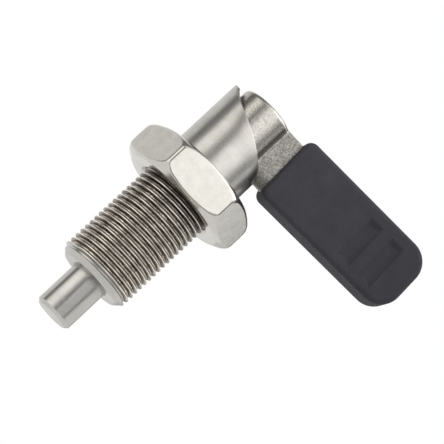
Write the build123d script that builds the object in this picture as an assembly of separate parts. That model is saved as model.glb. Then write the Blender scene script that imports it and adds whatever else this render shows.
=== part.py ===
from build123d import *

import os
from math import atan2, cos, hypot, radians, sin, tan

# Cam-action indexing plunger, M20 x 1.5, in stainless steel with a plastic grip.
# Millimetres. The plunger's axis is Z, with the pin nose towards -Z and the lever towards +Z.
# Z = 0 is the lock nut's bearing face. At rest the pin is out and the lever arm points along +X.

# Plunger body: threaded sleeve with a plain head, and a cam cut into the head's rim
BODY_FRONT_Z = -27.5
BODY_CHAMFER = 1.65
THREAD_CREST_D = 19.74
HEAD_D = 20.05
SPRING_SEAT_Z = 8.5
COUNTERBORE_D = 17.2
COUNTERBORE_Z = 13.0
BORE_CHAMFER = 0.3

# Cam rim: two helical ramps rise from a valley at +X to a flat land at -X
CAM_VALLEY_Z = 16.75
CAM_LAND_Z = 30.1
CAM_LAND_HALF_ANGLE = 4.0
CAM_LEAD = 29.3
CAM_VALLEY_FILLET = 2.0
CAM_LAND_FILLET = 0.4
CAM_EDGE_BREAK = 0.25

# Lock nut, thin hexagon nut
NUT_ACROSS_FLATS = 30.0
NUT_HEIGHT = 9.7
NUT_BORE_D = 20.16
NUT_COUNTERSINK_D = 21.7
NUT_CHAMFER_D = 28.5
NUT_CHAMFER_ANGLE = 30.0
NUT_TURN = 1.5

# Plunger pin: ground nose, guide land, and a shank that carries the lever
PIN_PROTRUSION = 12.2
PIN_NOSE_D = 9.98
PIN_TIP_CHAMFER = 0.8
PIN_GUIDE_D = 10.3
PIN_GUIDE_LENGTH = 10.0
SHANK_D = 6.0
SHANK_END_Z = 27.0
SHANK_CHAMFER = 0.5
SLIDING_GAP = 0.04

# Compression spring between the guide land and the body's inner web
SPRING_OUTER_D = 9.4
SPRING_WIRE_D = 0.95
SPRING_WIRE_SIDES = 6
SPRING_ACTIVE_TURNS = 5
SPRING_CLOSED_TURNS = 1
SPRING_CLOSED_GAP = 0.05
SPRING_END_GAP = 0.02

# Lever: round hub with a flat arm; the arm's rounded front edge rides on the cam
HUB_D = 14.5
HUB_FRONT_Z = 13.6
LEVER_REAR_Z = 31.5
LEVER_REAR_RADIUS = 1.0
HUB_BORE_END_Z = 27.5
HUB_TO_ARM_FILLET = 0.4
ARM_THICKNESS = 6.6
ARM_FRONT_GAP = 0.05
ARM_IN_GRIP = 2.0
TONGUE_LENGTH = 36.0
TONGUE_WIDTH = 12.4
TONGUE_THICKNESS = 4.4
TONGUE_END_RADIUS = 3.0

# Retaining pin, pressed across the hub and running in the shank's groove
RETAINING_PIN_D = 2.5
RETAINING_PIN_LENGTH = 12.6
RETAINING_PIN_OFFSET = 3.05
RETAINING_PIN_Z = 21.5
GROOVE_D = 3.5

# Grip cover: moulded sleeve that leans back and has two finger scoops on each face
GRIP_NEAR_X = 11.8
GRIP_CENTRE_Z = 24.7
GRIP_LEAN = 2.65
GRIP_LENGTH = 41.15
GRIP_NEAR_WIDTH = 18.3
GRIP_FAR_WIDTH = 18.0
GRIP_THICKNESS = 9.8
GRIP_NEAR_RADIUS = 2.3
GRIP_FAR_RADIUS = 5.9
GRIP_EDGE_RADIUS = 1.3
GRIP_POCKET_GAP = 0.05
SCOOP_FIRST = 25.3
SCOOP_PITCH = 7.0
SCOOP_COUNT = 2
SCOOP_WIDTH = 4.1
SCOOP_LENGTH = 12.6
SCOOP_OFFSET = -0.5
SCOOP_DEPTH = 0.9
SCOOP_END_RUN = 1.3

GUIDE_BORE_D = PIN_GUIDE_D + 2 * SLIDING_GAP
SHANK_BORE_D = SHANK_D + 2 * SLIDING_GAP
GUIDE_END_Z = BODY_FRONT_Z + PIN_GUIDE_LENGTH
ARM_FRONT_Z = CAM_VALLEY_Z + ARM_FRONT_GAP
ARM_END_X = GRIP_NEAR_X + ARM_IN_GRIP


def turned(points):
    """A solid of revolution about Z from (radius, height) points."""
    outline = make_face(Polyline(*points, close=True))
    return revolve(Plane.XZ * outline, axis=Axis.Z)


def cylinder_between(diameter, low, high):
    """A plain cylinder on the axis, from one height to another."""
    return turned([(0, low), (diameter / 2, low), (diameter / 2, high), (0, high)])


def cam_side_cutter():
    """What the cam removes on the +Y side: all above a helical ramp and a flat valley floor."""
    margin = 2.0
    inner = COUNTERBORE_D / 2 - margin
    outer = HEAD_D / 2 + margin
    middle = (inner + outer) / 2
    rise = CAM_LEAD * (180.0 - CAM_LAND_HALF_ANGLE) / 360.0
    start_z = CAM_LAND_Z - rise
    height = rise + margin
    section = Plane.XZ * Pos(middle, start_z + height / 2) * Rectangle(outer - inner, height)
    path = Pos(0, 0, start_z) * Helix(CAM_LEAD, rise, middle)
    wedge = sweep(section, path=path, is_frenet=True)
    return wedge - cylinder_between(4 * outer, start_z - margin, CAM_VALLEY_Z)


def break_cam_edges(body):
    """Rounds the cam's corners and takes the sharpness off its outer edge."""
    corners = body.edges().filter_by(GeomType.BSPLINE).sort_by(SortBy.LENGTH)[:4]
    body = fillet(corners.filter_by_position(Axis.X, 0, HEAD_D), CAM_VALLEY_FILLET)
    corners = body.edges().filter_by_position(Axis.X, -HEAD_D, -HUB_D / 2)
    corners = corners.filter_by(GeomType.BSPLINE).sort_by(SortBy.LENGTH)[:2]
    body = fillet(corners, CAM_LAND_FILLET)
    outer = [e for e in body.edges() if (e @ 0.5).Z > COUNTERBORE_Z and lies_on_radius(e, HEAD_D / 2)]
    return chamfer(outer, CAM_EDGE_BREAK)


def lies_on_radius(edge, radius):
    """Whether an edge keeps this distance from the axis."""
    tolerance = 0.01
    places = [edge @ share for share in (0.05, 0.5, 0.95)]
    return all(abs(hypot(place.X, place.Y) - radius) < tolerance for place in places)


def make_plunger_body():
    """Turned sleeve with stepped bores; the cam is cut last."""
    thread = THREAD_CREST_D / 2
    head = HEAD_D / 2
    sleeve = turned(
        [
            (0, BODY_FRONT_Z),
            (thread - BODY_CHAMFER, BODY_FRONT_Z),
            (thread, BODY_FRONT_Z + BODY_CHAMFER),
            (thread, 0),
            (head, 0),
            (head, CAM_LAND_Z),
            (0, CAM_LAND_Z),
        ]
    )
    guide = GUIDE_BORE_D / 2
    bores = turned(
        [
            (0, BODY_FRONT_Z),
            (guide + BORE_CHAMFER, BODY_FRONT_Z),
            (guide, BODY_FRONT_Z + BORE_CHAMFER),
            (guide, SPRING_SEAT_Z),
            (SHANK_BORE_D / 2, SPRING_SEAT_Z),
            (SHANK_BORE_D / 2, COUNTERBORE_Z),
            (COUNTERBORE_D / 2, COUNTERBORE_Z),
            (COUNTERBORE_D / 2, CAM_LAND_Z),
            (0, CAM_LAND_Z),
        ]
    )
    cutter = cam_side_cutter()
    return break_cam_edges(sleeve - bores - cutter - mirror(cutter, about=Plane.XZ))


def make_lock_nut():
    """Hexagon nut with both ends turned back at 30 degrees, and a countersunk bore."""
    reach = NUT_ACROSS_FLATS
    chamfer_r = NUT_CHAMFER_D / 2
    chamfer_drop = (reach - chamfer_r) * tan(radians(NUT_CHAMFER_ANGLE))
    blank = extrude(
        Rot(0, 0, NUT_TURN) * RegularPolygon(NUT_ACROSS_FLATS / 2, 6, major_radius=False),
        amount=NUT_HEIGHT,
    )
    turned_ends = turned(
        [
            (0, 0),
            (chamfer_r, 0),
            (reach, chamfer_drop),
            (reach, NUT_HEIGHT - chamfer_drop),
            (chamfer_r, NUT_HEIGHT),
            (0, NUT_HEIGHT),
        ]
    )
    bore = NUT_BORE_D / 2
    sink = NUT_COUNTERSINK_D / 2
    bore_cutter = turned(
        [
            (0, 0),
            (sink, 0),
            (bore, sink - bore),
            (bore, NUT_HEIGHT - sink + bore),
            (sink, NUT_HEIGHT),
            (0, NUT_HEIGHT),
        ]
    )
    return blank & (turned_ends - bore_cutter)


def make_plunger_pin():
    """Turned pin: chamfered nose, guide land, shank with the retaining groove."""
    tip_z = BODY_FRONT_Z - PIN_PROTRUSION
    nose = PIN_NOSE_D / 2
    guide = PIN_GUIDE_D / 2
    shank = SHANK_D / 2
    groove_half = RETAINING_PIN_D / 2 + SLIDING_GAP
    return turned(
        [
            (0, tip_z),
            (nose - PIN_TIP_CHAMFER, tip_z),
            (nose, tip_z + PIN_TIP_CHAMFER),
            (nose, BODY_FRONT_Z),
            (guide, BODY_FRONT_Z),
            (guide, GUIDE_END_Z),
            (shank, GUIDE_END_Z),
            (shank, RETAINING_PIN_Z - groove_half),
            (GROOVE_D / 2, RETAINING_PIN_Z - groove_half),
            (GROOVE_D / 2, RETAINING_PIN_Z + groove_half),
            (shank, RETAINING_PIN_Z + groove_half),
            (shank, SHANK_END_Z - SHANK_CHAMFER),
            (shank - SHANK_CHAMFER, SHANK_END_Z),
            (0, SHANK_END_Z),
        ]
    )


def half_turn(coil_r, low, rise, side):
    """Half a turn of spring wire: a tilted arc that starts and ends level, so the next half turn runs on from it."""
    tilt = side * atan2(rise, 2 * coil_r)
    axis = Axis((0, 0, low + rise / 2), (sin(tilt), 0, cos(tilt)))
    start = Plane(origin=(side * coil_r, 0, low), x_dir=(1, 0, 0), z_dir=(0, 1, 0))
    wire = RegularPolygon(SPRING_WIRE_D / 2, SPRING_WIRE_SIDES)
    return revolve(start * wire, axis=axis, revolution_arc=180)


def make_spring():
    """Compression spring: open turns between two closed turns, which are ground flat."""
    low = GUIDE_END_Z + SPRING_END_GAP
    high = SPRING_SEAT_Z - SPRING_END_GAP
    coil_r = (SPRING_OUTER_D - SPRING_WIRE_D) / 2
    closed_rise = (SPRING_WIRE_D + SPRING_CLOSED_GAP) / 2
    closed = [closed_rise] * (2 * SPRING_CLOSED_TURNS)
    open_length = high - low - 2 * sum(closed)
    active = [open_length / (2 * SPRING_ACTIVE_TURNS)] * (2 * SPRING_ACTIVE_TURNS)
    side = 1
    wire = None
    height = low
    for rise in closed + active + closed:
        turn = half_turn(coil_r, height, rise, side)
        wire = turn if wire is None else wire + turn
        height += rise
        side = -side
    return wire & cylinder_between(2 * SPRING_OUTER_D, low, high)


def arm_section(gap=0.0):
    """The arm's section across X: full-round front edge, square at the rear."""
    half = ARM_THICKNESS / 2 + gap
    front = ARM_FRONT_Z - gap
    rear = LEVER_REAR_Z + gap
    round_centre = Pos(0, front + half)
    block_height = rear - front - half
    block = Pos(0, rear - block_height / 2) * Rectangle(2 * half, block_height)
    return block + round_centre * Circle(half)


def grip_plane():
    """Working plane of the leaning grip: x along it, y across it towards the rear, z out of its near face."""
    lean = radians(GRIP_LEAN)
    return Plane(
        origin=(GRIP_NEAR_X, 0, GRIP_CENTRE_Z),
        x_dir=(cos(lean), 0, sin(lean)),
        z_dir=(0, -1, 0),
    )


def tongue(gap=0.0):
    """The thin end of the arm that the grip cover is pushed on to."""
    start = ARM_IN_GRIP / 2
    length = TONGUE_LENGTH - start + gap
    outline = Pos(start + length / 2, 0) * Rectangle(length, TONGUE_WIDTH + 2 * gap)
    far_corners = outline.vertices().group_by(Axis.X)[-1]
    outline = fillet(far_corners, TONGUE_END_RADIUS)
    return extrude(grip_plane() * outline, amount=TONGUE_THICKNESS / 2 + gap, both=True)


def retaining_pin_cylinder(length):
    """A cylinder along Y, tangent to the floor of the shank's groove."""
    place = Pos(-RETAINING_PIN_OFFSET, 0, RETAINING_PIN_Z)
    return place * Rot(90, 0, 0) * Cylinder(RETAINING_PIN_D / 2, length)


def make_lever():
    """Cast lever: hub, arm and tongue in one piece, with a blind bore and a cross hole."""
    hub = cylinder_between(HUB_D, HUB_FRONT_Z, LEVER_REAR_Z)
    arm = extrude(Plane.YZ * arm_section(), amount=ARM_END_X)
    casting = hub + arm
    crease = casting.edges().filter_by(Axis.Z).filter_by_position(Axis.X, 0, HUB_D / 2)
    casting = fillet(crease, HUB_TO_ARM_FILLET)
    rear_edges = casting.faces().sort_by(Axis.Z)[-1].edges().sort_by(Axis.X)[:-1]
    casting = fillet(rear_edges, LEVER_REAR_RADIUS)
    bore = cylinder_between(SHANK_BORE_D, HUB_FRONT_Z, HUB_BORE_END_Z)
    cross_hole = retaining_pin_cylinder(2 * HUB_D)
    return casting + tongue() - bore - cross_hole


def make_retaining_pin():
    """Plain pin, a little shorter than the hub is wide at its place."""
    return retaining_pin_cylinder(RETAINING_PIN_LENGTH)


def scoop_cutter():
    """One finger scoop: a cylinder across the grip, cut back by sloping ends."""
    half_width = SCOOP_WIDTH / 2
    scoop_r = (half_width**2 + SCOOP_DEPTH**2) / (2 * SCOOP_DEPTH)
    round_bar = Pos(0, 0, scoop_r - SCOOP_DEPTH) * Rot(90, 0, 0) * Cylinder(scoop_r, 2 * SCOOP_LENGTH)
    mouth = SCOOP_LENGTH / 2
    slope = SCOOP_END_RUN / SCOOP_DEPTH
    low = -SCOOP_DEPTH
    high = SCOOP_DEPTH
    side = Polyline(
        (-mouth + slope * SCOOP_DEPTH, low),
        (mouth - slope * SCOOP_DEPTH, low),
        (mouth + slope * SCOOP_DEPTH, high),
        (-mouth - slope * SCOOP_DEPTH, high),
        close=True,
    )
    limits = extrude(Plane.YZ * make_face(side), amount=SCOOP_WIDTH, both=True)
    return round_bar & limits


def make_grip_cover():
    """Moulded sleeve with rounded corners and edges, scoops on both faces, and a pocket for the arm."""
    outline = make_face(
        Polyline(
            (0, -GRIP_NEAR_WIDTH / 2),
            (GRIP_LENGTH, -GRIP_FAR_WIDTH / 2),
            (GRIP_LENGTH, GRIP_FAR_WIDTH / 2),
            (0, GRIP_NEAR_WIDTH / 2),
            close=True,
        )
    )
    corners = outline.vertices().group_by(Axis.X)
    outline = fillet(corners[0], GRIP_NEAR_RADIUS)
    corners = outline.vertices().group_by(Axis.X)
    outline = fillet(corners[-1], GRIP_FAR_RADIUS)
    block = extrude(outline, amount=GRIP_THICKNESS / 2, both=True)
    rims = block.faces().filter_by(Axis.Z).edges()
    block = fillet(rims, GRIP_EDGE_RADIUS)
    scoop = scoop_cutter()
    for index in range(SCOOP_COUNT):
        along = SCOOP_FIRST + index * SCOOP_PITCH
        near_scoop = Pos(along, SCOOP_OFFSET, GRIP_THICKNESS / 2) * scoop
        block = block - near_scoop - mirror(near_scoop, about=Plane.XY)
    cover = grip_plane().location * block
    arm_pocket = extrude(Plane.YZ * arm_section(GRIP_POCKET_GAP), amount=ARM_END_X + GRIP_POCKET_GAP)
    return cover - arm_pocket - tongue(GRIP_POCKET_GAP)


MAKERS = {
    "plunger_body": make_plunger_body,
    "lock_nut": make_lock_nut,
    "plunger_pin": make_plunger_pin,
    "spring": make_spring,
    "lever": make_lever,
    "retaining_pin": make_retaining_pin,
    "grip_cover": make_grip_cover,
}

os.makedirs("parts", exist_ok=True)
for node, maker in MAKERS.items():
    solid = maker()
    solid.label = node
    export_step(solid, f"parts/{node}.step")
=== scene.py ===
"""Looks of the indexing plunger: thread, cam rim, hexagon nut, spring, cast lever and moulded grip.

The threaded body, the nut and the spring are meshes made here, which stand for their CAD nodes. The pin,
the lever, the retaining pin and the grip cover are the CAD's own shapes in new materials. Shapes are in
millimetres and materials in metres. Colours are linear.
"""

from math import cos, pi, radians, sin, tan

import bmesh
import bpy
import numpy as np
from mathutils import Matrix, Vector


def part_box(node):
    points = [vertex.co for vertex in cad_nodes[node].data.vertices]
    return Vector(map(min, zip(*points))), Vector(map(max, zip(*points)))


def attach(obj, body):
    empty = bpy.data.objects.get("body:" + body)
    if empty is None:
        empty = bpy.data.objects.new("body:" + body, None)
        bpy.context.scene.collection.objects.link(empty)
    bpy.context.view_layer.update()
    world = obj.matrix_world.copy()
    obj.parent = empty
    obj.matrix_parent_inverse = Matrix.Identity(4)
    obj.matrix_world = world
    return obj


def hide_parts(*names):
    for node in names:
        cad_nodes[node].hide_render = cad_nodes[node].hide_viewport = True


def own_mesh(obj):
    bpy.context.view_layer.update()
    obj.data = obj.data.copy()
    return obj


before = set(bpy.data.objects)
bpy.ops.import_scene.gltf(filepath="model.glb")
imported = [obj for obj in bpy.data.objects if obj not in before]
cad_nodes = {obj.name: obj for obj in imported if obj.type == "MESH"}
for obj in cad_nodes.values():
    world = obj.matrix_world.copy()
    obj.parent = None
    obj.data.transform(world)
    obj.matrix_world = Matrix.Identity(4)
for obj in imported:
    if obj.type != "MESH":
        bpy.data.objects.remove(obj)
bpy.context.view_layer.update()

MM = 0.001
WELD_DISTANCE = 1e-6
LONGEST_ROUNDING = 0.45     # as a share of the shorter side of a corner


# ---------------------------------------------------------------- meshes

def add_object(name, data):
    """A new object in the scene."""
    obj = bpy.data.objects.new(name, data)
    bpy.context.scene.collection.objects.link(obj)
    return obj


def mesh_object(name, points, faces, smooth_angle):
    """A mesh object in the row frame, with edges sharper than smooth_angle in degrees kept sharp."""
    mesh = bpy.data.meshes.new(name)
    mesh.from_pydata(points, [], faces)
    clean(mesh)
    mesh.shade_smooth()
    mesh.set_sharp_from_angle(angle=radians(smooth_angle))
    return add_object(name, mesh)


def clean(mesh):
    """Joins points that coincide, drops faces without area and turns all faces outward."""
    bm = bmesh.new()
    bm.from_mesh(mesh)
    bmesh.ops.remove_doubles(bm, verts=bm.verts, dist=WELD_DISTANCE)
    bmesh.ops.dissolve_degenerate(bm, edges=bm.edges, dist=WELD_DISTANCE)
    bmesh.ops.recalc_face_normals(bm, faces=bm.faces)
    bm.to_mesh(mesh)
    bm.free()


def turned_point(r, angle, z):
    """A point in metres, from a radius and a height in millimetres and an angle in radians."""
    return Vector((r * cos(angle), r * sin(angle), z)) * MM


def ring_faces(rings, columns, closed):
    """Quads between neighbouring rings of points, and from the last ring to the first if closed."""
    faces = []
    for ring in range(rings if closed else rings - 1):
        here, there = ring * columns, (ring + 1) % rings * columns
        for column in range(columns):
            following = (column + 1) % columns
            faces.append((here + column, here + following, there + following, there + column))
    return faces


def arc_points(centre, radius, start, end, steps):
    """(radius, height) points of an arc, angles in degrees."""
    angles = np.radians(np.linspace(start, end, steps + 1))
    return [(centre[0] + radius * cos(a), centre[1] + radius * sin(a)) for a in angles]


def rounded_profile(corners, steps=4):
    """Points along (radius, height, rounding) corners, with roundings as arcs. The two ends have none."""
    points = []
    for index, (r, z, rounding) in enumerate(corners):
        if not rounding:
            points.append((r, z))
            continue
        here = Vector((r, z))
        before = Vector(corners[index - 1][:2]) - here
        after = Vector(corners[index + 1][:2]) - here
        half = before.angle(after) / 2
        shorter_side = min(before.length, after.length)
        reach = min(rounding / tan(half), LONGEST_ROUNDING * shorter_side)
        radius = reach * tan(half)
        middle = here + (before.normalized() + after.normalized()).normalized() * radius / sin(half)
        start = here + before.normalized() * reach - middle
        end = here + after.normalized() * reach - middle
        turn = start.angle_signed(end)
        for step in range(steps + 1):
            points.append(tuple(middle + Matrix.Rotation(-turn * step / steps, 2) @ start))
    return points


# ---------------------------------------------------------------- sizes, in millimetres

def span(node):
    """A node's lowest and highest corner in millimetres."""
    low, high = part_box(node)
    return low / MM, high / MM


BODY_LOW, BODY_HIGH = span("plunger_body")
NUT_LOW, NUT_HIGH = span("lock_nut")
SPRING_LOW, SPRING_HIGH = span("spring")
HEAD_R = BODY_HIGH.x

EDGE_ROUNDING = 0.1
SEAT_ROUNDING = 0.15
ARC_STEPS = 4

# Thread. The mesh has level rows at the front, where a chamfer cuts it, and then rows that climb with it.
THREAD_PITCH = 1.5
THREAD_CREST_R = 9.96
THREAD_END_Z = 8.0
THREAD_END_SLOPE = 1.2
FRONT_FACE_R = 8.1
FRONT_CHAMFER_R = 8.22
FRONT_EDGE_BREAK = 0.03
LEVEL_LENGTH = 2.4
LEVEL_ROW = 0.05
BODY_COLUMNS = 240
THREAD_PROFILE = [
    # height as a share of the pitch, depth below the crest
    (0.0, 0.0), (0.055, 0.0), (0.07, 0.025), (0.22, 0.41), (0.36, 0.77), (0.39, 0.812),
    (0.5, 0.812), (0.61, 0.812), (0.64, 0.77), (0.78, 0.41), (0.93, 0.025), (0.945, 0.0),
]

# Relief and head
RELIEF_R = 8.9
RELIEF_ROUNDING = 0.2
HEAD_START_Z = 9.1
HEAD_CHAMFER_WIDTH = 0.4
HEAD_CHAMFER_HEIGHT = 0.3
HEAD_ROWS = 5

# Bores
GUIDE_BORE_R = 5.19
GUIDE_MOUTH_ROUNDING = 0.3
SHANK_BORE_R = 3.04
SPRING_SEAT_Z = 8.5
COUNTERBORE_R = 8.6
COUNTERBORE_Z = 13.0

# Cam rim: its ramps climb from the valley at +X to a short land at -X
CAM_VALLEY_Z = 16.75
CAM_VALLEY_BLEND = 0.2
CAM_LAND_BLEND = 0.05
CAM_LAND_HALF_ANGLE = 4.0
CAM_LEAD = 29.3
RIM_OUTER_ROUNDING = 0.22
RIM_INNER_ROUNDING = 0.12

# Nut. A face radius is where the chamfer starts on that end. A blend is the width that softens an edge.
NUT_FLAT_R = 15.0
NUT_CORNER_R = 17.31
NUT_FRONT_FACE_R = 14.15
NUT_REAR_FACE_R = 14.6
NUT_FACE_INSET = 0.2
NUT_CHAMFER_ANGLE = radians(26.5)
NUT_CHAMFER_BLEND = 1.4
NUT_CORNER_BLEND = 0.56
NUT_EDGE_BLEND = 0.2
NUT_REAR_EDGE_BLEND = 0.55
NUT_REAR_BLEND_DEPTHS = (1.0, 4.0)
NUT_TURN = radians(1.5)
NUT_SINK_R = 10.85
NUT_BORE_R = 10.1
NUT_HALF_COLUMNS = 27
NUT_CORNER_CROWDING = 1.8
NUT_SEARCH_R = (10.0, 18.0)
NUT_SEARCH_STEPS = 40

# Spring
SPRING_WIRE_R = 0.475
SPRING_COIL_R = 4.225
SPRING_CLOSED_PITCH = 1.0
SPRING_ACTIVE_TURNS = 5
SPRING_WIRE_SIDES = 14
SPRING_STEPS_PER_TURN = 48


# ---------------------------------------------------------------- pieces

def soft_step(a, b, blend):
    """The larger of a and b (the smaller if blend is negative), with the corner rounded over blend."""
    side = 1 if blend > 0 else -1
    overlap = max(abs(blend) - abs(a - b), 0) / abs(blend)
    return side * max(side * a, side * b) + side * overlap ** 2 * abs(blend) / 4


def cam_height(angle):
    """Height of the cam rim at this angle from the valley, in degrees."""
    away = abs((angle + 180) % 360 - 180)
    ramp = BODY_HIGH.z - CAM_LEAD * (180 - CAM_LAND_HALF_ANGLE - away) / 360
    ramp = soft_step(ramp, BODY_HIGH.z, -CAM_LAND_BLEND)
    return soft_step(ramp, CAM_VALLEY_Z, CAM_VALLEY_BLEND)


def thread_radius(z, share):
    """Radius of the thread and its end chamfers, at a height and at a share of a turn."""
    phase = ((z - BODY_LOW.z) / THREAD_PITCH - share) % 1
    places, depths = zip(*THREAD_PROFILE, (1.0, 0.0))
    radius = THREAD_CREST_R - float(np.interp(phase, places, depths))
    front_cone = FRONT_CHAMFER_R + z - BODY_LOW.z
    rear_cone = RELIEF_R + THREAD_END_SLOPE * (THREAD_END_Z - z)
    return min(radius, front_cone, rear_cone)


def body_outline(share, turns):
    """The body's closed (radius, height) outline at a share of a turn, and its range of climbing rows."""
    front = BODY_LOW.z
    level_end = front + LEVEL_LENGTH
    outline = [(FRONT_FACE_R, front)]
    for z in np.arange(front + FRONT_EDGE_BREAK, level_end, LEVEL_ROW):
        outline.append((thread_radius(z, share), z))
    first = len(outline)
    for turn in range(-1, turns):
        for place, _ in THREAD_PROFILE:
            z = front + (turn + place + share) * THREAD_PITCH
            z = min(max(z, level_end), THREAD_END_Z)
            outline.append((thread_radius(z, share), z))
    climbing = (first, len(outline) - 1)
    outline += rounded_profile([
        (RELIEF_R, THREAD_END_Z, 0),
        (RELIEF_R, HEAD_START_Z - HEAD_CHAMFER_HEIGHT, RELIEF_ROUNDING),
        (HEAD_R - HEAD_CHAMFER_WIDTH, HEAD_START_Z - HEAD_CHAMFER_HEIGHT, EDGE_ROUNDING),
        (HEAD_R, HEAD_START_Z, EDGE_ROUNDING),
        (HEAD_R, BODY_HIGH.z, 0),
    ])[:-1]
    outline += head_and_rim(cam_height(360 * share))
    outline += rounded_profile([
        (COUNTERBORE_R, BODY_HIGH.z, 0),
        (COUNTERBORE_R, COUNTERBORE_Z, SEAT_ROUNDING),
        (SHANK_BORE_R, COUNTERBORE_Z, EDGE_ROUNDING),
        (SHANK_BORE_R, SPRING_SEAT_Z, 0),
        (GUIDE_BORE_R, SPRING_SEAT_Z, EDGE_ROUNDING),
        (GUIDE_BORE_R, front, GUIDE_MOUTH_ROUNDING),
        (FRONT_FACE_R, front, 0),
    ])[1:-1]
    return outline, climbing


def head_and_rim(top):
    """The head's wall up to this height of the cam rim, and over the rim to the counterbore."""
    outer, inner = RIM_OUTER_ROUNDING, RIM_INNER_ROUNDING
    wall = [(HEAD_R, z) for z in np.linspace(HEAD_START_Z + EDGE_ROUNDING, top - outer, HEAD_ROWS)]
    outer_edge = arc_points((HEAD_R - outer, top - outer), outer, 0, 90, ARC_STEPS)[1:]
    inner_edge = arc_points((COUNTERBORE_R + inner, top - inner), inner, 90, 180, ARC_STEPS - 1)
    return wall + outer_edge + inner_edge


def make_threaded_body():
    """The body in one mesh: helical thread, relief, head, cam rim and stepped bores."""
    turns = int((THREAD_END_Z - BODY_LOW.z) / THREAD_PITCH) + 2
    points = []
    for column in range(BODY_COLUMNS):
        share = column / BODY_COLUMNS
        outline, climbing = body_outline(share, turns)
        points += [turned_point(r, 2 * pi * share, z) for r, z in outline]
    rows = len(outline)
    faces = []
    for column in range(BODY_COLUMNS):
        here, there = column * rows, (column + 1) % BODY_COLUMNS * rows
        for row in range(rows):
            following = (row + 1) % rows
            far, far_following = row, following
            if column == BODY_COLUMNS - 1:
                far, far_following = seam_row(row, climbing), seam_row(following, climbing)
            faces.append((here + row, there + far, there + far_following, here + following))
    return mesh_object("threaded_body", points, faces, smooth_angle=40.0)


def seam_row(row, climbing):
    """The row that this one meets across the seam, where the thread has climbed by one turn."""
    first, last = climbing
    return min(row + len(THREAD_PROFILE), last) if first <= row <= last else row


def blended(a, b, blend):
    """The outer of two surfaces, given as distances, with their edge rounded over blend."""
    corner = np.hypot(np.maximum(a + blend, 0), np.maximum(b + blend, 0))
    return np.minimum(np.maximum(a, b), -blend) + corner


def nut_distance(r, lean, depth, face_r, edge_blend):
    """Distance outside the nut, at a radius, a lean from a flat's middle and a depth from an end face."""
    flat = r * np.cos(lean) - NUT_FLAT_R
    next_flat = r * np.cos(radians(60) - lean) - NUT_FLAT_R
    chamfer = (r - face_r) * sin(NUT_CHAMFER_ANGLE) - depth * cos(NUT_CHAMFER_ANGLE)
    sides = blended(flat, next_flat, NUT_CORNER_BLEND)
    turned = blended(chamfer, r - NUT_CORNER_R, NUT_CHAMFER_BLEND)
    return blended(sides, turned, edge_blend)


def nut_radius(lean, depth, face_r, edge_blend):
    """The nut's outer radius there, found by halving."""
    low, high = (np.full(lean.shape, limit) for limit in NUT_SEARCH_R)
    for _ in range(NUT_SEARCH_STEPS):
        middle = (low + high) / 2
        outside = nut_distance(middle, lean, depth, face_r, edge_blend) > 0
        high = np.where(outside, middle, high)
        low = np.where(outside, low, middle)
    return low


def nut_rings(height, lean):
    """The nut's (radii, height) rings, over its outside from the front face and back through its hole."""
    edge_rows = (0.02, 0.05)
    chamfer_rows = np.arange(0.1, 3.5, 0.085)
    flat_rows = np.arange(3.6, height / 2, 0.4)
    depths = np.concatenate([edge_rows, chamfer_rows, flat_rows])
    rings = [(np.full(lean.shape, NUT_FRONT_FACE_R - NUT_FACE_INSET), 0.0)]
    for depth in depths:
        rings.append((nut_radius(lean, depth, NUT_FRONT_FACE_R, NUT_EDGE_BLEND), depth))
    for depth in depths[::-1]:
        edge_blend = np.interp(depth, NUT_REAR_BLEND_DEPTHS, (NUT_REAR_EDGE_BLEND, NUT_EDGE_BLEND))
        rings.append((nut_radius(lean, depth, NUT_REAR_FACE_R, edge_blend), height - depth))
    rings.append((np.full(lean.shape, NUT_REAR_FACE_R - NUT_FACE_INSET), height))
    sink_depth = NUT_SINK_R - NUT_BORE_R
    hole = rounded_profile([
        (NUT_FLAT_R, height, 0),
        (NUT_SINK_R, height, SEAT_ROUNDING),
        (NUT_BORE_R, height - sink_depth, EDGE_ROUNDING),
        (NUT_BORE_R, sink_depth, EDGE_ROUNDING),
        (NUT_SINK_R, 0, SEAT_ROUNDING),
        (NUT_FLAT_R, 0, 0),
    ], steps=3)[1:-1]
    return rings + [(np.full(lean.shape, r), z) for r, z in hole]


def make_hex_nut():
    """Hexagon nut with soft corners, turned ends and countersinks. Its columns crowd at the corners."""
    share = np.linspace(-1, 1, 2 * NUT_HALF_COLUMNS + 1)[:-1]
    lean = radians(30) * np.sign(share) * (1 - (1 - np.abs(share)) ** NUT_CORNER_CROWDING)
    angles = np.concatenate([radians(60 * side - 30) + NUT_TURN + lean for side in range(6)])
    rings = nut_rings(NUT_HIGH.z - NUT_LOW.z, np.abs(np.tile(lean, 6)))
    points = [turned_point(r, angle, z) for radii, z in rings for r, angle in zip(radii, angles)]
    faces = ring_faces(len(rings), len(angles), closed=True)
    return mesh_object("hex_nut", points, faces, smooth_angle=50.0)


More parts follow.
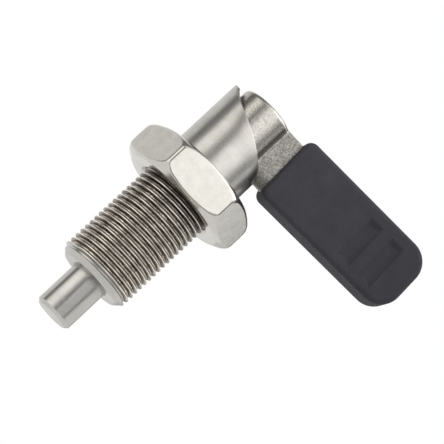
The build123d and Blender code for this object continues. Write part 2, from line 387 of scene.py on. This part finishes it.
def make_coil_spring():
    """Round wire with one closed turn at each end, both ends ground flat."""
    length = SPRING_HIGH.z - SPRING_LOW.z
    active_pitch = (length - 2 * SPRING_CLOSED_PITCH) / SPRING_ACTIVE_TURNS
    turns = SPRING_ACTIVE_TURNS + 2
    steps = turns * SPRING_STEPS_PER_TURN
    points = []
    height = SPRING_LOW.z
    for step in range(steps + 1):
        turn = step / SPRING_STEPS_PER_TURN
        for side in range(SPRING_WIRE_SIDES):
            lean = 2 * pi * side / SPRING_WIRE_SIDES
            r = SPRING_COIL_R + SPRING_WIRE_R * cos(lean)
            z = height + SPRING_WIRE_R * sin(lean)
            z = min(max(z, SPRING_LOW.z), SPRING_HIGH.z)
            points.append(turned_point(r, 2 * pi * turn, z))
        closed = turn < 1 or turn >= turns - 1
        height += (SPRING_CLOSED_PITCH if closed else active_pitch) / SPRING_STEPS_PER_TURN
    faces = ring_faces(steps + 1, SPRING_WIRE_SIDES, closed=False)
    first_end = range(SPRING_WIRE_SIDES)
    faces.append(tuple(first_end))
    faces.append(tuple(steps * SPRING_WIRE_SIDES + side for side in reversed(first_end)))
    return mesh_object("coil_spring", points, faces, smooth_angle=30.0)


# ---------------------------------------------------------------- node trees

class Nodes:
    """A short way to write node trees. Values are numbers, vectors, colours or sockets that give them."""

    def __init__(self, tree):
        self.tree = tree

    def feed(self, node, inputs):
        """Sets a node's inputs to plain values, and links them to sockets."""
        for key, value in inputs.items():
            socket = node.inputs[key]
            if isinstance(value, bpy.types.NodeSocket):
                self.tree.links.new(value, socket)
            elif socket.type == "RGBA":
                socket.default_value = (*value, 1.0)
            else:
                socket.default_value = value

    def add(self, kind, inputs=None, **settings):
        """A new node with these inputs and settings."""
        node = self.tree.nodes.new(kind)
        for key, value in settings.items():
            setattr(node, key, value)
        self.feed(node, inputs or {})
        return node

    def math(self, operation, a, b):
        """Two values added, subtracted or multiplied."""
        return self.add("ShaderNodeMath", {0: a, 1: b}, operation=operation).outputs[0]

    def weighed(self, first, second, share):
        """The sum of two values, the first with this share and the second with the rest."""
        first = self.math("MULTIPLY", first, share)
        second = self.math("MULTIPLY", second, 1 - share)
        return self.math("ADD", first, second)

    def vector_math(self, operation, a, b=(0, 0, 0)):
        """The result of a vector operation, a number for a length or a dot product."""
        node = self.add("ShaderNodeVectorMath", {0: a, 1: b}, operation=operation)
        return node.outputs["Value" if operation in ("LENGTH", "DOT_PRODUCT") else "Vector"]

    def mapped(self, value, source, target=(0.0, 1.0), interpolation="LINEAR"):
        """A value carried from a source range to a target range, and held at the target's ends."""
        inputs = {
            "Value": value,
            "From Min": source[0],
            "From Max": source[1],
            "To Min": target[0],
            "To Max": target[1],
        }
        return self.add("ShaderNodeMapRange", inputs, interpolation_type=interpolation).outputs[0]

    def ramp(self, factor, places, colours):
        """A colour that goes through these colours as the factor passes these places."""
        node = self.add("ShaderNodeValToRGB", {"Fac": factor})
        elements = node.color_ramp.elements
        while len(elements) < len(colours):
            elements.new(0.5)
        for element, place, colour in zip(elements, places, colours):
            element.position = place
            element.color = (*colour, 1.0)
        return node.outputs["Color"]

    def mixed(self, factor, first, second):
        """Two colours mixed, the second showing by the factor."""
        node = self.add("ShaderNodeMix", {"Factor": factor, 6: first, 7: second}, data_type="RGBA")
        return node.outputs[2]

    def noise(self, vector, scale=1.0, detail=3.0, roughness=0.55):
        """Smooth noise, with its scale per metre."""
        inputs = {"Vector": vector, "Scale": scale, "Detail": detail, "Roughness": roughness}
        return self.add("ShaderNodeTexNoise", inputs).outputs["Fac"]

    def stretched(self, vector, scale):
        """A vector scaled along each axis."""
        return self.add("ShaderNodeMapping", {"Vector": vector, "Scale": scale}).outputs[0]

    def flattened(self, vector):
        """A vector without its height."""
        return self.vector_math("MULTIPLY", vector, (1, 1, 0))

    def coordinate(self, vector, axis):
        """One coordinate of a vector."""
        return self.add("ShaderNodeSeparateXYZ", {0: vector}).outputs[axis]

    def axis_distance(self, place):
        """Distance of a place from the plunger's axis."""
        return self.vector_math("LENGTH", self.flattened(place))

    def bump(self, height, distance):
        """The surface's normal bent by a height, 1 standing for this distance."""
        inputs = {"Height": height, "Strength": 1.0, "Distance": distance}
        return self.add("ShaderNodeBump", inputs).outputs[0]


# ---------------------------------------------------------------- materials, in metres

# Colours from dark to light
HEAD_COLOURS = ((0.449, 0.436, 0.416), (0.528, 0.518, 0.498))
# dirt in the root, and where clean a painted highlight lighter than the steel
ROOT_DIRT_TO_HIGHLIGHT_COLOURS = ((0.165, 0.140, 0.118), (0.74, 0.68, 0.60))
# painted shade in the lower corners of the thread's grooves
CORNER_SHADE_COLOURS = ((0.046, 0.037, 0.030), (0.200, 0.163, 0.133))
FLANK_COLOURS = ((0.105, 0.088, 0.073), (0.53, 0.475, 0.41))
# bare worn steel on the crests, made lighter than the steel as a painted highlight
CREST_HIGHLIGHT_COLOUR = (0.82, 0.785, 0.73)
NUT_COLOURS = ((0.500, 0.488, 0.457), (0.550, 0.538, 0.511))
PIN_COLOURS = ((0.449, 0.439, 0.422), (0.528, 0.518, 0.502))
SPRING_COLOURS = ((0.277, 0.271, 0.264), (0.363, 0.356, 0.35))
HUB_COLOURS = ((0.33, 0.31, 0.284), (0.540, 0.524, 0.494))
ARM_COLOURS = ((0.145, 0.139, 0.129), (0.271, 0.261, 0.244), (0.449, 0.436, 0.413))
GRIP_COLOURS = ((0.037, 0.036, 0.044), (0.053, 0.052, 0.063))
# painted shade at the grip's free end
FAR_END_SHADE_COLOUR = (0.019, 0.0185, 0.0225)

# Radii at which one finish gives way to the next
BORE_TO_THREAD = (0.0086, 0.0089)
ROOT_TO_CORNER = (0.009152, 0.009162)
CORNER_TO_FLANK = (0.00934, 0.00952)
FLANK_TO_CREST = (0.00986, 0.00992)
HUB_TO_ARM = (0.00728, 0.00736)

# Heights at which the thread's finish starts, from the front chamfer and from the relief
CHAMFER_TO_THREAD = (-0.0253, -0.0250)
RELIEF_TO_THREAD = (0.0082, 0.0080)

NOISE_RANGE = (0.35, 0.65)              # where most of a noise's values lie
TURNED_RINGS = (60, 60, 9000)           # stretches a noise into rings round the axis
THREAD_STREAKS = (420, 420, 5200)       # into streaks along the grooves
THREAD_SPECKS = (1, 1, 1.6)             # into slightly flat specks
WEAR_DEPTH = 0.0002                     # how far dirt, wear and the painted shadow by the nut move a band's radius
THREAD_RELIEF = 6.0                     # times as high as the turned rings
ARM_ROUGHER_BY = 0.17


def new_material(name):
    """An empty node material, with its nodes, its principled shader and its object coordinates."""
    material = bpy.data.materials.new(name)
    material.use_nodes = True
    nodes = Nodes(material.node_tree)
    shader = material.node_tree.nodes["Principled BSDF"]
    place = nodes.add("ShaderNodeTexCoord").outputs["Object"]
    return material, nodes, shader, place


def turning_marks(nodes, place):
    """The fine rings that turning leaves across the axis, and their mean with a faint cloudy tarnish."""
    rings = nodes.noise(nodes.stretched(place, TURNED_RINGS))
    clouds = nodes.noise(place, scale=260.0)
    return rings, nodes.weighed(rings, clouds, 0.5)


def turned_steel(name, colours, roughness, line_depth):
    """Turned stainless steel, rougher where it is dark."""
    material, nodes, shader, place = new_material(name)
    rings, shade = turning_marks(nodes, place)
    nodes.feed(shader, {
        "Base Color": nodes.ramp(shade, NOISE_RANGE, colours),
        "Roughness": nodes.mapped(shade, NOISE_RANGE, roughness),
        "Metallic": 1.0,
        "Normal": nodes.bump(rings, line_depth),
    })
    return material


def thread_dirt_and_nut_shade(nodes, place):
    """Specks and streaks of dirt on the thread, darker towards the nut, with a painted shadow of the nut
    on the turns next to it. Low is dark.
    """
    height = nodes.coordinate(place, "Z")
    specks = nodes.noise(nodes.stretched(place, THREAD_SPECKS), scale=2300.0, detail=2.0, roughness=0.6)
    streaks = nodes.noise(nodes.stretched(place, THREAD_STREAKS), detail=2.0)
    along_thread = nodes.mapped(height, (-0.024, -0.004), (0.015, -0.025))
    # painted shade: the nut's shadow on the last turns of the thread
    painted_nut_shadow = nodes.mapped(height, (-0.0045, 0.0), (0.0, -0.10))
    trend = nodes.math("ADD", along_thread, painted_nut_shadow)
    return nodes.math("ADD", nodes.weighed(specks, streaks, 0.5), trend)


def thread_share(nodes, place):
    """1 on the thread, and 0 on the rest of the body."""
    height = nodes.coordinate(place, "Z")
    behind_chamfer = nodes.mapped(height, CHAMFER_TO_THREAD)
    before_relief = nodes.mapped(height, RELIEF_TO_THREAD)
    outside_bores = nodes.mapped(nodes.axis_distance(place), BORE_TO_THREAD)
    share = nodes.math("MULTIPLY", behind_chamfer, before_relief)
    return nodes.math("MULTIPLY", share, outside_bores)


def body_steel_material():
    """The body's steel: a bright turned head, and a thread with brown grooves, painted shade in their
    lower corners and painted highlights on crests and roots.
    """
    material, nodes, shader, place = new_material("body_steel")
    rings, shade = turning_marks(nodes, place)
    dirt_and_nut_shade = thread_dirt_and_nut_shade(nodes, place)
    on_thread = thread_share(nodes, place)

    radius = nodes.axis_distance(place)
    # dirt and the painted shadow by the nut also move where the bands lie
    dirt_and_shade_shift = nodes.math("MULTIPLY", nodes.math("SUBTRACT", dirt_and_nut_shade, 0.5), WEAR_DEPTH)
    shifted_radius = nodes.math("ADD", radius, dirt_and_shade_shift)
    on_crest = nodes.mapped(shifted_radius, FLANK_TO_CREST)
    # dirt in the groove's root, and a painted highlight where it is clean
    root = nodes.ramp(dirt_and_nut_shade, (0.42, 0.58), ROOT_DIRT_TO_HIGHLIGHT_COLOURS)
    # painted shade in the grooves' lower corners
    corner = nodes.ramp(dirt_and_nut_shade, (0.42, 0.60), CORNER_SHADE_COLOURS)
    flank = nodes.ramp(dirt_and_nut_shade, (0.42, 0.58), FLANK_COLOURS)
    threaded = nodes.mixed(nodes.mapped(radius, ROOT_TO_CORNER), root, corner)
    threaded = nodes.mixed(nodes.mapped(shifted_radius, CORNER_TO_FLANK), threaded, flank)
    # painted highlight along the crests
    threaded = nodes.mixed(on_crest, threaded, CREST_HIGHLIGHT_COLOUR)

    plain = nodes.ramp(shade, NOISE_RANGE, HEAD_COLOURS)
    roughness = nodes.mapped(shade, NOISE_RANGE, (0.32, 0.25))
    dull_grooves = nodes.math("MULTIPLY", on_thread, nodes.mapped(on_crest, (0.0, 1.0), (0.10, 0.0)))
    relief = nodes.math("MULTIPLY", nodes.math("MULTIPLY", dirt_and_nut_shade, on_thread), THREAD_RELIEF)
    nodes.feed(shader, {
        "Base Color": nodes.mixed(on_thread, plain, threaded),
        "Roughness": nodes.math("ADD", roughness, dull_grooves),
        "Metallic": 1.0,
        "Normal": nodes.bump(nodes.math("ADD", rings, relief), distance=0.00001),
    })
    return material


def nut_steel_material():
    """Satin stainless: soft cloudy flats with small dents."""
    material, nodes, shader, place = new_material("nut_steel")
    clouds = nodes.noise(place, scale=420.0, detail=4.0, roughness=0.6)
    grain = nodes.noise(place, scale=4200.0, roughness=0.6)
    shade = nodes.weighed(clouds, grain, 0.6)
    nodes.feed(shader, {
        "Base Color": nodes.ramp(shade, (0.36, 0.62), NUT_COLOURS),
        "Roughness": nodes.mapped(shade, NOISE_RANGE, (0.19, 0.12)),
        "Metallic": 1.0,
        "Normal": nodes.bump(shade, distance=0.00002),
    })
    return material


def lever_steel_material():
    """Cast stainless lever: the hub is turned smooth, the arm keeps the casting's coarse dark grain."""
    material, nodes, shader, place = new_material("lever_steel")
    on_arm = nodes.mapped(nodes.axis_distance(place), HUB_TO_ARM)
    coarse = nodes.noise(place, scale=2300.0, detail=4.0, roughness=0.7)
    fine = nodes.noise(place, scale=6500.0, detail=2.0, roughness=0.6)
    grain = nodes.weighed(coarse, fine, 0.6)
    hub = nodes.ramp(grain, (0.38, 0.60), HUB_COLOURS)
    arm = nodes.ramp(grain, (0.38, 0.51, 0.62), ARM_COLOURS)
    roughness = nodes.mapped(grain, NOISE_RANGE, (0.27, 0.18))
    depth = nodes.mapped(on_arm, (0.0, 1.0), (0.3, 1.0))
    nodes.feed(shader, {
        "Base Color": nodes.mixed(on_arm, hub, arm),
        "Roughness": nodes.math("ADD", roughness, nodes.math("MULTIPLY", on_arm, ARM_ROUGHER_BY)),
        "Metallic": 1.0,
        "Normal": nodes.bump(nodes.math("MULTIPLY", grain, depth), distance=0.00014),
    })
    return material


def grip_plastic_material():
    """Dark moulded plastic with a fine spark-eroded grain, with painted shade that darkens it towards its
    free end.
    """
    material, nodes, shader, place = new_material("grip_plastic")
    grain = nodes.noise(place, scale=5200.0, roughness=0.6)
    clouds = nodes.noise(place, scale=240.0, detail=2.0)
    shade = nodes.weighed(grain, clouds, 0.6)
    moulded = nodes.ramp(shade, (0.3, 0.7), GRIP_COLOURS)
    # painted shade: darker towards the grip's free end, away from the hub
    far_end_shade = nodes.mapped(nodes.coordinate(place, "X"), (0.02, 0.055), (0.0, 0.36))
    nodes.feed(shader, {
        "Base Color": nodes.mixed(far_end_shade, moulded, FAR_END_SHADE_COLOUR),
        "Roughness": nodes.mapped(shade, (0.3, 0.7), (0.76, 0.66)),
        "Specular IOR Level": 0.2,
        "Normal": nodes.bump(grain, distance=0.00003),
    })
    return material


def dress(obj, material):
    """Gives an object one material."""
    obj.data.materials.clear()
    obj.data.materials.append(material)


# ---------------------------------------------------------------- studio

# Directions are (azimuth, elevation) in degrees. Azimuth 0 is towards the camera's side, -Y, and 90 is +X.
STUDIO_COLOUR = (1.0, 0.992, 0.97)
STUDIO_CARDS = [
    # azimuth, elevation or None for an upright strip, half width, softness, colour
    (-57, None, 18, 8, (1.545, 1.515, 1.439)),  # bright, left of the camera
    (16, None, 26, 12, (1.667, 1.652, 1.621)),  # bright, beside the camera
    (-99, None, 9, 6, (0.152, 0.148, 0.142)),   # a thin dark edge at the far left
    (155, None, 16, 10, (0.62, 0.61, 0.60)),    # grey, behind the object
    (0, -90, 75, 8, (1.061, 1.053, 1.03)),      # what a pale floor would throw back
    (72, 54, 28, 12, (2.7, 2.7, 2.7)),          # brightest, high on the right
    (-92, 56, 30, 8, (0.25, 0.25, 0.25)),       # dark, high on the left
    (22, -37, 30, 8, (0.106, 0.106, 0.106)),    # dark, low beside the camera
]

REFLECTED_ELEVATION = 11.4
STUDIO_FLAGS = {
    # two points of the flag's middle line as (height on the axis, azimuth seen from there), its distance,
    # half width, reach past each point, and shade
    "gap_flag": ((-33, -15), (13, -24), 300, 42, 300, 0.30),
    "right_gap_flag": ((-33, 54), (13, 63), 300, 42, 300, 0.33),
    "pin_flag": ((-100, 25), (-64, 25), 150, 62, 50, 0.97),
    "head_flag": ((48, 153), (100, 153), 150, 78, 50, 0.12),
    "side_flag": ((60, -83), (100, -83), 150, 22, 55, 0.25),
}

FLOOR_Z = -0.75
FLOOR_REACH = 8.0
FLOOR_SHADE = 0.9

CAMERA_PLACE = Vector((-0.02770, -0.63685, -0.12822))
CAMERA_AIM = Vector((0.01150, 0.0, 0.00512))
CAMERA_ROLL = radians(46.72)
CAMERA_LENS = 223.58
CAMERA_SENSOR = 36.0
CAMERA_CLIP_START = 0.01


def direction(azimuth, elevation):
    """The unit vector of a studio direction."""
    level = cos(radians(elevation))
    return (level * sin(radians(azimuth)), -level * cos(radians(azimuth)), sin(radians(elevation)))


def seen_from(height, azimuth, distance):
    """The point that the body reflects to the camera, from a height, an azimuth and a distance."""
    return (Vector(direction(azimuth, REFLECTED_ELEVATION)) * distance + Vector((0, 0, height))) * MM


def plain_surface(name, corners, shade, roughness, specular):
    """A flat grey surface with four corners."""
    mesh = bpy.data.meshes.new(name)
    mesh.from_pydata(corners, [], [(0, 1, 2, 3)])
    surface = add_object(name, mesh)
    material, nodes, shader, _ = new_material(name)
    nodes.feed(shader, {
        "Base Color": (shade, shade, shade),
        "Roughness": roughness,
        "Specular IOR Level": specular,
    })
    dress(surface, material)
    return surface


def hang_flags():
    """Grey flags close to the object. The camera sees only their reflections and their shade."""
    for name, (first, second, distance, half_width, reach, shade) in STUDIO_FLAGS.items():
        low, high = seen_from(*first, distance), seen_from(*second, distance)
        along = (high - low).normalized()
        across = along.cross((low + high) / 2).normalized() * half_width * MM
        low -= along * reach * MM
        high += along * reach * MM
        corners = (low - across, low + across, high + across, high - across)
        flag = plain_surface(name, corners, shade, roughness=1.0, specular=0.0)
        flag.visible_camera = False


def lay_floor():
    """A wide pale floor well below the object. Reflections pass through it to the cards of the studio."""
    sides = ((-1, -1), (1, -1), (1, 1), (-1, 1))
    corners = [(x * FLOOR_REACH, y * FLOOR_REACH, FLOOR_Z) for x, y in sides]
    floor = plain_surface("floor", corners, FLOOR_SHADE, roughness=0.8, specular=0.5)
    floor.visible_glossy = False
    floor.visible_diffuse = False


def light_world():
    """A white studio with soft cards that the metal reflects. The camera sees plain white instead."""
    world = bpy.data.worlds.new("studio")
    bpy.context.scene.world = world
    world.use_nodes = True
    world.node_tree.nodes.clear()
    nodes = Nodes(world.node_tree)
    looking = nodes.add("ShaderNodeTexCoord").outputs["Generated"]
    level = nodes.vector_math("NORMALIZE", nodes.flattened(looking))
    colour = STUDIO_COLOUR
    for azimuth, elevation, half_width, softness, card_colour in STUDIO_CARDS:
        sight = level if elevation is None else looking
        toward_card = nodes.vector_math("DOT_PRODUCT", sight, direction(azimuth, elevation or 0))
        edge = (cos(radians(half_width + softness)), cos(radians(half_width - softness)))
        share = nodes.mapped(toward_card, edge, interpolation="SMOOTHSTEP")
        colour = nodes.mixed(share, colour, card_colour)
    studio = nodes.add("ShaderNodeBackground", {"Color": colour, "Strength": 1.0}).outputs[0]
    plain = nodes.add("ShaderNodeBackground", {"Color": (1, 1, 1), "Strength": 1.0}).outputs[0]
    seen = nodes.add("ShaderNodeLightPath").outputs["Is Camera Ray"]
    choice = nodes.add("ShaderNodeMixShader", {0: seen, 1: studio, 2: plain}).outputs[0]
    nodes.add("ShaderNodeOutputWorld", {"Surface": choice})


def make_camera():
    """The photograph's view: a long lens from a little below, rolled so that the pin points down left."""
    data = bpy.data.cameras.new("camera")
    data.sensor_width = CAMERA_SENSOR
    data.lens = CAMERA_LENS
    data.clip_start = CAMERA_CLIP_START
    camera = add_object("camera", data)
    aim = (CAMERA_AIM - CAMERA_PLACE).to_track_quat("-Z", "Y").to_matrix().to_4x4()
    camera.matrix_world = Matrix.Translation(CAMERA_PLACE) @ aim @ Matrix.Rotation(CAMERA_ROLL, 4, "Z")
    bpy.context.scene.camera = camera


# ---------------------------------------------------------------- the scene

body = make_threaded_body()
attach(body, "housing")
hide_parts("plunger_body")
dress(body, body_steel_material())

nut = make_hex_nut()
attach(nut, "nut")
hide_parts("lock_nut")
dress(nut, nut_steel_material())

spring = make_coil_spring()
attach(spring, "housing")
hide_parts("spring")
dress(spring, turned_steel("spring_steel", SPRING_COLOURS, roughness=(0.30, 0.22), line_depth=0.000004))
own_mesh(spring)

pin_steel = turned_steel("pin_steel", PIN_COLOURS, roughness=(0.30, 0.20), line_depth=0.000006)
dress(cad_nodes["plunger_pin"], pin_steel)
dress(cad_nodes["retaining_pin"], pin_steel)
dress(cad_nodes["lever"], lever_steel_material())
dress(cad_nodes["grip_cover"], grip_plastic_material())

lay_floor()
hang_flags()
light_world()
make_camera()
bpy.context.scene.view_settings.view_transform = "Standard"
